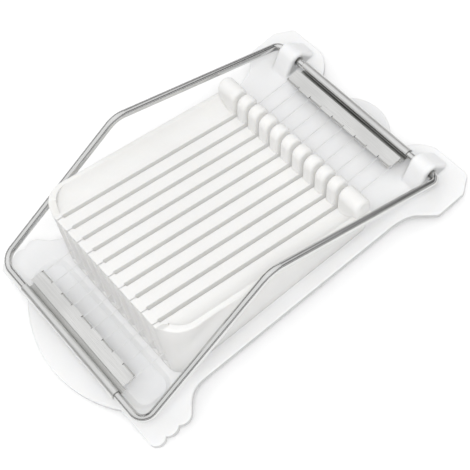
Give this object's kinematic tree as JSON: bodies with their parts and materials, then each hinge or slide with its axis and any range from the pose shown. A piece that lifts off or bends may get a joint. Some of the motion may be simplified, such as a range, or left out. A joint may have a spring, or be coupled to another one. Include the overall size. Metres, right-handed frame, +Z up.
{
  "type": "egg slicer",
  "caption": "Wire slicer for eggs and luncheon meat: a white moulded base with a sloping ribbed cradle and a hinged steel bail that carries cutting wires through the slots.",
  "frame": {"origin": "centre of the bounding box in plan, on the surface that the base stands on", "axes": "+X to the object's right, +Y from the handle bar at the front to the hinge at the rear, +Z up"},
  "size_m": [0.134, 0.1984, 0.0535],
  "materials": {
    "base_plastic": "satin white moulding",
    "cradle_plastic": "satin warm white moulding",
    "screw_steel": "zinc plated",
    "rod_steel": "polished stainless rod",
    "clip_steel": "cold-rolled stainless sheet",
    "wire_steel": "drawn stainless wire"
  },
  "bodies": {
    "base": {"base_plate": "base_plastic", "cradle": "cradle_plastic", "cradle_screws": "screw_steel"},
    "bail": {"bail_rod": "rod_steel", "front_clip": "clip_steel", "rear_clip": "clip_steel", "wire_loop_1": "wire_steel", "wire_loop_2": "wire_steel", "wire_loop_3": "wire_steel", "wire_loop_4": "wire_steel", "wire_loop_5": "wire_steel"}
  },
  "joints": [
    {"name": "bail_hinge", "type": "hinge", "parent": "base", "child": "bail", "pos_m": [0, 0.0862, 0.0148], "axis": [-1, 0, 0], "range_deg": [0, 115]}
  ]
}
